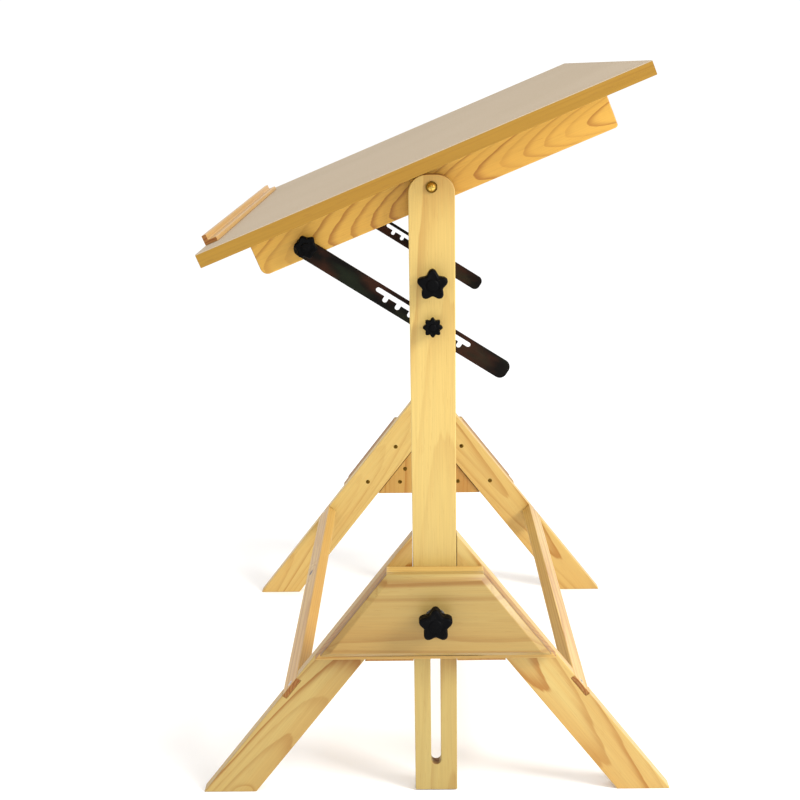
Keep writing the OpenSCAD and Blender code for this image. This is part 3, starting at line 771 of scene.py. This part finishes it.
class Bench:
    """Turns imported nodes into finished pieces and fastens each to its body."""

    seam: float = 0.002 * MM
    flat: float = math.radians(0.6)
    corner: float = math.radians(38)
    smallest_rim: float = 26 * MM
    even_weight: int = 100

    def __init__(self, frame: dict) -> None:
        """Keeps the frame and looks up each node's body and finish slot.
        """
        self.nodes = frame["nodes"]
        record = frame["record"]
        self.body = {n: b for b, group in record["behaviour"]["bodies"].items() for n in group}
        self.slot = {s["node"]: s["material_slot"] for s in record["subparts"]}

    def shell(self, node: str) -> bmesh.types.BMesh:
        """Copies a node's surface with its flat faces whole again.

        Args:
            node: The node's name.

        Returns:
            A clean mesh.
        """
        source = self.nodes[node].data
        made = bmesh.new()
        points = [made.verts.new(v.co) for v in source.vertices]
        for face in source.polygons:
            made.faces.new([points[i] for i in face.vertices])
        bmesh.ops.remove_doubles(made, verts=made.verts, dist=self.seam)
        bmesh.ops.dissolve_limit(made, angle_limit=self.flat, verts=made.verts, edges=made.edges)
        bmesh.ops.recalc_face_normals(made, faces=made.faces)
        return made

    def sharp(self, shell: bmesh.types.BMesh) -> list[bmesh.types.BMEdge]:
        """Finds the sharp edges, without the rims of small holes.

        Args:
            shell: The mesh.

        Returns:
            The edges to soften.
        """
        sharp = {e for e in shell.edges if e.is_manifold and e.calc_face_angle(0.0) > self.corner}
        keep = []
        while sharp:
            group, front = set(), [sharp.pop()]
            while front:
                edge = front.pop()
                group.add(edge)
                near = {e for v in edge.verts for e in v.link_edges} & sharp
                sharp -= near
                front.extend(near)
            places = [v.co for e in group for v in e.verts]
            span = max(max(p[i] for p in places) - min(p[i] for p in places) for i in range(3))
            if span > self.smallest_rim:
                keep.extend(group)
        return keep

    def soften(self, shell: bmesh.types.BMesh, edges: list[bmesh.types.BMEdge], radius: float,
               steps: int = 3) -> None:
        """Rounds some of a mesh's edges over, by a radius in metres and with some steps of faces."""
        bmesh.ops.bevel(shell, geom=edges, offset=radius, offset_type="OFFSET", segments=steps,
                        profile=0.5, affect="EDGES", clamp_overlap=False)

    def piece(self, name: str, shell: bmesh.types.BMesh) -> bpy.types.Object:
        """Makes an object from a mesh, with even shading over its rounded edges.

        Args:
            name: The object's name.
            shell: The mesh, which is used up.

        Returns:
            The object.
        """
        mesh = bpy.data.meshes.new(name)
        shell.to_mesh(mesh)
        shell.free()
        mesh.shade_smooth()
        mesh.set_sharp_from_angle(angle=self.corner)
        made = bpy.data.objects.new(name, mesh)
        bpy.context.scene.collection.objects.link(made)
        even = made.modifiers.new("even_shading", "WEIGHTED_NORMAL")
        even.keep_sharp = True
        even.weight = self.even_weight
        bpy.context.view_layer.update()
        shaded = made.evaluated_get(bpy.context.evaluated_depsgraph_get())
        settled = bpy.data.meshes.new_from_object(shaded)
        made.modifiers.clear()
        made.data = settled
        return made

    def fasten(self, piece: bpy.types.Object, node: str, finish: Finish, lie: Lie) -> None:
        """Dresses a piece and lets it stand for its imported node.

        Args:
            piece: The finished object.
            node: The node that it stands for.
            finish: The finish that it gets.
            lie: How it lies.
        """
        piece.data.materials.clear()
        piece.data.materials.append(finish.material(f"{node}_finish", lie))
        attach(piece, self.body[node])
        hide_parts(node)
        LOG.info("%s: %d faces on %s", piece.name, len(piece.data.polygons), self.body[node])

    def dress(self, node: str, finish: Finish, lie: Lie) -> None:
        """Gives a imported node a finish, and leaves its shape as it is.

        Args:
            node: The node's name.
            finish: The finish that it gets.
            lie: How it lies.
        """
        piece = self.nodes[node]
        made = finish.material(f"{node}_finish", lie)
        for place in piece.material_slots:
            place.material = made
        if not piece.material_slots:
            piece.data.materials.append(made)
        LOG.info("%s: dressed", node)


@dataclass
class Board:
    """A sawn and planed board with softened arrises."""

    node: str
    along: Vector
    through: Vector
    finish: Finish
    arris: float = 1.2 * MM
    chamfer: float = 0.0
    level: float = 0.1 * MM

    def make(self, bench: Bench) -> None:
        """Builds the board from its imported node.

        Args:
            bench: Where it is made.
        """
        shell = bench.shell(self.node)
        if self.chamfer:
            bench.soften(shell, self._outer_rim(bench, shell), self.chamfer, 1)
        bench.soften(shell, bench.sharp(shell), self.arris)
        piece = bench.piece(f"{self.node}_board", shell)
        bench.fasten(piece, self.node, self.finish, Lie.of(self.node, self.along, self.through))

    def _outer_rim(self, bench: Bench, shell: bmesh.types.BMesh) -> list[bmesh.types.BMEdge]:
        """Finds the rim of the face that looks out of the end frame.

        Args:
            bench: Where the board is made.
            shell: The board's mesh.

        Returns:
            The rim's edges.
        """
        outer = max(abs(v.co.y) for v in shell.verts)
        return [
            e for e in bench.sharp(shell)
            if all(abs(abs(v.co.y) - outer) < self.level for v in e.verts)
        ]


# Sub-assemblies -----------------------


class End(Enum):
    """The two ends of the table, as the side of Y that they are on."""

    RIGHT = -1
    LEFT = 1

    @property
    def word(self) -> str:
        """The word that node names end with."""
        return self.name.lower()

    @property
    def out(self) -> Vector:
        """The direction out of the table at this end."""
        return Y * self.value


@dataclass
class EndFrame:
    """Two sloping legs, the guide plate and blocks that join them, and the face plate outside."""

    end: End
    slope: float
    plate_arris: float = 1.0 * MM
    block_arris: float = 0.8 * MM
    face_chamfer: float = 7.5 * MM

    def build(self, bench: Bench) -> None:
        """Builds the frame's boards.

        Args:
            bench: Where they are made.
        """
        near = self.end is End.RIGHT
        out, word = self.end.out, self.end.word
        rising = Vector((math.cos(self.slope), 0, math.sin(self.slope)))
        falling = Vector((-rising.x, 0, rising.z))
        # The near front leg's lower tone is painted shade.
        front = Pine(seed=2.0 if near else 31.0, heart_across=-0.014, lean=0.03, sink=0.07, figure=0.85,
                     knots=(Knot(-0.225, -0.018, 0.005),) if near else (), tone=0.8 if near else 1.0)
        # The near back leg's paler colour is a painted sheen.
        back = Pine(seed=5.0 if near else 37.0, heart_across=0.012, lean=-0.03, sink=-0.045, ring=0.008,
                    tone=0.97 if near else 1.0, pale=tint(196, 174, 108) if near else Pine.pale)
        guide = Pine(seed=8.0 if near else 41.0, heart_across=0.03, lean=0.03, figure=0.6)
        # The blocks' darker colours are painted shade where they sit back between the legs.
        block = Pine(seed=9.0 if near else 42.0, heart_across=-0.02, lean=0.03, figure=0.7,
                     pale=tint(178, 139, 70), honey=tint(166, 117, 53))
        # The face plate's low tone is painted shade.
        face = Pine(
            seed=11.3 if near else 43.0, heart_across=0.004, heart_below=0.07, lean=0.012, ring=0.009,
            figure=0.5, tone=0.7,
            streaks=(Streak(0.054, 0.009, 0.7), Streak(0.03, 0.005, 0.35), Streak(-0.05, 0.004, 0.4)),
        )
        Board(f"leg_front_{word}", rising, out, front).make(bench)
        Board(f"leg_back_{word}", falling, out, back).make(bench)
        Board(f"guide_plate_{word}", X, out, guide, arris=self.plate_arris).make(bench)
        Board(f"guide_blocks_{word}", Z, out, block, arris=self.block_arris).make(bench)
        Board(f"face_plate_{word}", X, out, face, chamfer=self.face_chamfer).make(bench)


@dataclass
class Stretchers:
    """The two boards that tie the end frames together."""

    slope: float
    arris: float = 1.5 * MM

    def build(self, bench: Bench) -> None:
        """Builds both stretchers.

        Args:
            bench: Where they are made.
        """
        streaks = (Streak(0.009, 0.0025, 0.6), Streak(-0.003, 0.0018, 0.5), Streak(-0.012, 0.0022, 0.55))
        front_knots = (Knot(0.055, 0.004, 0.0055),)
        for word, side, seed, knots in (("front", -1, 14.0, front_knots), ("back", 1, 17.5, ())):
            outward = Vector((side * math.sin(self.slope), 0, math.cos(self.slope)))
            wood = Pine(seed, heart_across=0.008 * side, heart_below=0.03, lean=0.02, ring=0.004,
                        knots=knots, streaks=streaks)
            Board(f"stretcher_{word}", Y, outward, wood, self.arris).make(bench)


@dataclass
class Mast:
    """The sliding posts and the rail between them."""

    arris: float = 1.2 * MM

    def build(self, bench: Bench) -> None:
        """Builds the posts and the rail.

        Args:
            bench: Where they are made.
        """
        # The near post's fade darkens its foot as painted shade.
        near = Pine(seed=20.0, heart_across=-0.02, lean=0.02, sink=0.06, ring=0.01, figure=0.6, fade=0.28,
                    pale=tint(202, 177, 107), honey=tint(195, 164, 92))
        far = Pine(seed=23.0, heart_across=0.04, lean=0.02, ring=0.008, figure=0.5)
        rail = Pine(seed=26.0, heart_across=0.01, lean=0.02, figure=0.5)
        Board("post_right", Z, End.RIGHT.out, near, self.arris).make(bench)
        Board("post_left", Z, End.LEFT.out, far, self.arris).make(bench)
        Board("cross_rail", Y, X, rail, self.arris).make(bench)


@dataclass
class Top:
    """The tilting top: core board, lipping, laminate, cleats and pencil ledge."""

    tilt: float
    sheet_arris: float = 0.35 * MM
    lipping_arris: float = 0.25 * MM
    cleat_arris: float = 1.6 * MM
    ledge_arris: float = 1.0 * MM

    def build(self, bench: Bench) -> None:
        """Builds the top's boards and dresses its core.

        Args:
            bench: Where they are made.
        """
        up_slope = Vector((math.cos(self.tilt), 0, math.sin(self.tilt)))
        above = Vector((-math.sin(self.tilt), 0, math.cos(self.tilt)))
        core = Pine(seed=50.0, ring=0.009, figure=0.4, heart_below=0.05, tone=0.9)
        bench.dress("core_board", core, Lie.of("core_board", Y, above))
        Board("surface_sheet", up_slope, above, HardSheet(), self.sheet_arris).make(bench)
        for word, along, seed in (("front", Y, 51.0), ("back", Y, 52.0),
                                  ("right", up_slope, 53.0), ("left", up_slope, 54.0)):
            edging = Pine(seed, heart_below=0.08, ring=0.005, figure=0.25,
                          pale=tint(156, 118, 34), honey=tint(148, 107, 27), late=tint(120, 78, 16))
            Board(f"lipping_{word}", along, above, edging, self.lipping_arris).make(bench)
        for end, seed in ((End.RIGHT, 56.0), (End.LEFT, 59.0)):
            wood = Pine(seed, heart_across=-0.006, heart_below=0.052, lean=0.02, sink=-0.11, ring=0.0036,
                        pale=tint(208, 166, 74), honey=tint(192, 144, 58), late=tint(142, 84, 22))
            Board(f"cleat_{end.word}", up_slope, end.out, wood, self.cleat_arris).make(bench)
        ledge = Pine(seed=62.0, ring=0.005, figure=0.3, pale=tint(204, 162, 98))
        Board("ledge", Y, above, ledge, self.ledge_arris).make(bench)


@dataclass
class TiltArms:
    """The slotted steel arms that hold the top at its incline."""

    arris: float = 0.35 * MM

    def build(self, bench: Bench) -> None:
        """Builds both arms.

        Args:
            bench: Where they are made.
        """
        for end in End:
            node = f"tilt_arm_{end.word}"
            low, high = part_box(node)
            down_slope = Vector((high.x - low.x, 0, low.z - high.z))
            Board(node, down_slope, end.out, BluedSteel(), self.arris).make(bench)


@dataclass(frozen=True)
class KnobShape:
    """One kind of knob: its lobes, the dip between them, its hub's width and height, its width."""

    lobes: int
    dip: float
    hub: float
    hub_height: float
    outer: float


class KnobKind(Enum):
    """The four kinds of star knob on the table."""

    CLAMP = KnobShape(lobes=5, dip=0.3, hub=24 * MM, hub_height=9 * MM, outer=47 * MM)
    RAIL = KnobShape(lobes=5, dip=0.3, hub=20 * MM, hub_height=8 * MM, outer=41 * MM)
    ARM = KnobShape(lobes=8, dip=0.22, hub=14 * MM, hub_height=5 * MM, outer=26 * MM)
    PIN = KnobShape(lobes=6, dip=0.2, hub=17 * MM, hub_height=5 * MM, outer=31 * MM)


@dataclass
class StarKnob:
    """A moulded star knob: a round hub, rounded lobes, a shallow dish and a round cap."""

    node: str
    axis_node: str
    shape: KnobShape
    lean: float = 0.0
    rim: float = 0.19
    dish: float = 0.66
    cap: float = 0.36
    moat: tuple[float, float] = (1.25, 1.08)
    cap_top: tuple[float, float] = (0.85, 0.3)
    chamfer: float = 0.6 * MM
    lobe_drop: float = 0.4 * MM
    dish_drop: float = 0.9 * MM
    moat_drop: float = 1.3 * MM
    cap_drop: float = 0.5 * MM
    turns: int = 24

    def make(self, bench: Bench) -> None:
        """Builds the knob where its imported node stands.

        Args:
            bench: Where it is made.
        """
        low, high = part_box(self.node)
        shaft_low, shaft_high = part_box(self.axis_node)
        side = End.RIGHT if low.y < 0 else End.LEFT
        out = side.out
        base_y = high.y if side is End.RIGHT else low.y
        centre = (shaft_low + shaft_high) / 2
        up = Vector((-math.sin(self.lean), 0, math.cos(self.lean)))
        right = up.cross(out)
        turn = Matrix((right, up, out)).transposed().to_4x4()
        place = Matrix.Translation((centre.x, base_y, centre.z)) @ turn
        shell = self._shell(high.y - low.y)
        bmesh.ops.transform(shell, matrix=place, verts=shell.verts)
        piece = bench.piece(f"{self.node}_moulding", shell)
        bench.fasten(piece, self.node, MouldedPlastic(), Lie.of(self.node, out, up))

    def _shell(self, height: float) -> bmesh.types.BMesh:
        """Lofts the knob ring by ring from its seat to the middle of its cap.

        Args:
            height: The knob's whole height, in metres.

        Returns:
            The knob's mesh on the plane z = 0.
        """
        shell = bmesh.new()
        rings = [self._ring(shell, *section) for section in self._sections(height)]
        shell.faces.new(list(reversed(rings[0])))
        for lower, upper in zip(rings, rings[1:]):
            for i in range(len(lower)):
                j = (i + 1) % len(lower)
                shell.faces.new((lower[i], lower[j], upper[j], upper[i]))
        shell.faces.new(rings[-1])
        bmesh.ops.recalc_face_normals(shell, faces=shell.faces)
        return shell

    def _sections(self, height: float) -> list[Triple]:
        """Lists the rings from the seat to the cap.

        Args:
            height: The knob's whole height, in metres.

        Returns:
            Each ring's radius, height and how star-shaped it is.
        """
        radius, hub, base = self.shape.outer / 2, self.shape.hub / 2, self.shape.hub_height
        rim, cap, chamfer = self.rim * radius, self.cap * radius, self.chamfer
        crown, floor = height - self.lobe_drop, height - self.moat_drop
        rounds = [math.radians(a) for a in range(0, 91, 15)]
        rings = [(hub - chamfer, 0.0, 0.0), (hub, chamfer, 0.0), (hub, base - chamfer, 0.0),
                 (hub + chamfer, base, 0.15)]
        rings += [(radius - rim * (1 - math.sin(a)), base + rim * (1 - math.cos(a)), 1.0) for a in rounds]
        rings += [(radius - rim * (1 - math.cos(a)), crown - rim * (1 - math.sin(a)), 1.0) for a in rounds]
        rings += [(self.dish * radius, height - self.dish_drop, 0.7)]
        rings += [(cap * share, floor, 0.0) for share in self.moat]
        rings += [(cap, height - self.cap_drop, 0.0)]
        rings += [(cap * share, height, 0.0) for share in self.cap_top]
        return rings

    def _ring(self, shell: bmesh.types.BMesh, radius: float, height: float,
              star: float) -> list[bmesh.types.BMVert]:
        """Adds one ring of points, between round and star-shaped.

        Args:
            shell: The mesh that gets them.
            radius: The ring's radius at the tips of the lobes.
            height: Its height over the seat.
            star: How star-shaped it is, from 0 to 1.

        Returns:
            The points, in order.
        """
        lobes = self.shape.lobes
        steps = lobes * self.turns
        points = []
        for i in range(steps):
            angle = 2 * math.pi * i / steps
            dip = self.shape.dip * star * (1 - math.cos(lobes * angle)) / 2
            reach = radius - dip * self.shape.outer / 2
            points.append(shell.verts.new((reach * math.sin(angle), reach * math.cos(angle), height)))
        return points[::-1]


@dataclass
class Knobs:
    """All eight star knobs, each on the fitting that it turns on."""

    tilt: float
    fittings: tuple[tuple[KnobKind, str], ...] = (
        (KnobKind.CLAMP, "insert"), (KnobKind.RAIL, "stud"),
        (KnobKind.ARM, "insert"), (KnobKind.PIN, "insert"),
    )

    def build(self, bench: Bench) -> None:
        """Builds the knobs at both ends. Those on the arms' pins lean with the top.

        Args:
            bench: Where they are made.
        """
        for end in End:
            for kind, fitting in self.fittings:
                word = kind.name.lower()
                lean = self.tilt if kind is KnobKind.PIN else 0.0
                knob = StarKnob(f"{word}_knob_{end.word}", f"{word}_{fitting}_{end.word}", kind.value, lean)
                knob.make(bench)


@dataclass
class Fittings:
    """Bolts, washers, screws and inserts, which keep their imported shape."""

    aged: tuple[str, ...] = ("leg_screws", "plate_screws", "pivot_cups")
    brass: tuple[str, ...] = ("pivot_bolts",)
    zinc: tuple[str, ...] = ("stretcher_screws", "clamp_washers", "rail_barrel_nuts", "rail_washers",
                             "arm_clamp_bolts", "arm_clamp_washers", "pivot_spacers", "pivot_nuts",
                             "cleat_screws", "ledge_screws", "arm_pins")
    paired_brass: tuple[str, ...] = ("clamp_insert", "arm_insert", "pin_insert")
    paired_zinc: tuple[str, ...] = ("clamp_bolt", "rail_stud")

    def build(self, bench: Bench) -> None:
        """Dresses every fitting.

        Args:
            bench: Where they are dressed.
        """
        brass = [*self.brass, *(f"{n}_{e.word}" for n in self.paired_brass for e in End)]
        zinc = [*self.zinc, *(f"{n}_{e.word}" for n in self.paired_zinc for e in End)]
        for metal, nodes in ((Metal.AGED_BRASS, self.aged), (Metal.BRASS, brass), (Metal.ZINC, zinc)):
            for node in nodes:
                bench.dress(node, metal.value, Lie.of(node, X, Z))


# Studio -------------------------------


@dataclass
class Camera:
    """The viewpoint, a little in front of the table's right-hand end."""

    place: Triple = (-0.0222, -2.0145, 1.01005)
    yaw: float = math.radians(-0.771)
    pitch: float = math.radians(14.571)
    roll: float = math.radians(-0.870)
    lens: float = 57.26
    sensor: float = 36.0

    def build(self) -> None:
        """Adds the camera and makes it the scene's own."""
        level = math.cos(self.pitch)
        forward = Vector((math.sin(self.yaw) * level, math.cos(self.yaw) * level, -math.sin(self.pitch)))
        side = Vector((math.cos(self.yaw), -math.sin(self.yaw), 0))
        upward = side.cross(forward)
        right = side * math.cos(self.roll) + upward * math.sin(self.roll)
        above = upward * math.cos(self.roll) - side * math.sin(self.roll)
        data = bpy.data.cameras.new("camera")
        data.lens, data.sensor_width = self.lens, self.sensor
        made = bpy.data.objects.new("camera", data)
        turn = Matrix((right, above, -forward)).transposed().to_4x4()
        made.matrix_world = Matrix.Translation(self.place) @ turn
        bpy.context.scene.collection.objects.link(made)
        bpy.context.scene.camera = made


@dataclass
class Lamp:
    """A square soft light that looks at a point."""

    name: str
    place: Triple
    aim: Triple
    size: float
    power: float

    def build(self) -> None:
        """Adds the light."""
        data = bpy.data.lights.new(self.name, "AREA")
        data.shape, data.size, data.energy = "SQUARE", self.size, self.power
        made = bpy.data.objects.new(self.name, data)
        made.location = self.place
        made.rotation_euler = (Vector(self.aim) - Vector(self.place)).to_track_quat("-Z", "Y").to_euler()
        bpy.context.scene.collection.objects.link(made)


@dataclass
class Studio:
    """A plain pale floor, an even white sky and soft lights."""

    floor_size: float = 60.0
    floor_steps: int = 8
    sky: float = 1.06
    white: Colour = (1.0, 1.0, 1.0, 1.0)
    paint: Colour = tint(252, 252, 252)
    dull_paint: Colour = tint(248, 248, 248)
    cloud: Triple = (1.3, 1.3, 1.3)
    roughness: float = 0.9
    lamps: list[Lamp] = field(default_factory=lambda: [
        Lamp("key", (2.6, -1.5, 2.2), (0, 0, 0.4), 1.2, 120.0),
        Lamp("front", (-0.3, -3.4, 2.4), (0, 0, 0.5), 2.0, 12.0),
    ])

    def build(self) -> None:
        """Adds the floor, the sky, the lights and the camera."""
        scene = bpy.context.scene
        scene.view_settings.view_transform = "Standard"
        world = bpy.data.worlds.new("sky")
        world.use_nodes = True
        background = world.node_tree.nodes["Background"]
        background.inputs["Color"].default_value = self.white
        background.inputs["Strength"].default_value = self.sky
        scene.world = world
        bpy.ops.mesh.primitive_grid_add(
            x_subdivisions=self.floor_steps, y_subdivisions=self.floor_steps, size=self.floor_size)
        floor = bpy.context.object
        floor.name = "floor"
        floor.data.materials.append(self._floor_finish())
        for lamp in self.lamps:
            lamp.build()
        Camera().build()

    def _floor_finish(self) -> bpy.types.Material:
        """Gives the floor a matt pale paint with faint clouding.

        Returns:
            The floor's material.
        """
        n = Nodes("floor_paint")
        source = n.add("ShaderNodeTexCoord")
        cloud = n.noise(source.outputs["Object"], self.cloud, detail=3.0)
        n.feed({"Base Color": n.blend(cloud, self.paint, self.dull_paint), "Roughness": self.roughness})
        return n.material


# Building -----------------------------


def main() -> None:
    """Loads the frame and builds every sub-assembly in order."""
    logging.basicConfig(level=logging.INFO, format="%(message)s")
    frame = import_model()
    bench = Bench(frame)
    slope = leg_slope(bench)
    tilt = top_tilt(bench)
    LOG.info("legs at %.2f degrees, top at %.2f degrees", math.degrees(slope), math.degrees(tilt))
    for end in End:
        EndFrame(end, slope).build(bench)
    Stretchers(slope).build(bench)
    Mast().build(bench)
    Top(tilt).build(bench)
    TiltArms().build(bench)
    Knobs(tilt).build(bench)
    Fittings().build(bench)
    Studio().build()


def leg_slope(bench: Bench) -> float:
    """Measures how steeply the legs rise, from the front leg's outer edge.

    Args:
        bench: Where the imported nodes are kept.

    Returns:
        The slope from level, in radians.
    """
    points = [v.co for v in bench.nodes["leg_front_right"].data.vertices]
    foot = min(points, key=lambda p: (round(p.z, 5), p.x))
    tip = max(points, key=lambda p: p.z)
    return math.atan2(tip.z - foot.z, tip.x - foot.x)


def top_tilt(bench: Bench) -> float:
    """Measures the top's incline, from the sheet's lower and upper long edges.

    Args:
        bench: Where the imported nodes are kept.

    Returns:
        The incline from level, in radians.
    """
    points = [v.co for v in bench.nodes["surface_sheet"].data.vertices]
    low = min(points, key=lambda p: p.z)
    high = max(points, key=lambda p: p.x)
    return math.atan2(high.z - low.z, high.x - low.x)


if __name__ == "__main__":
    main()
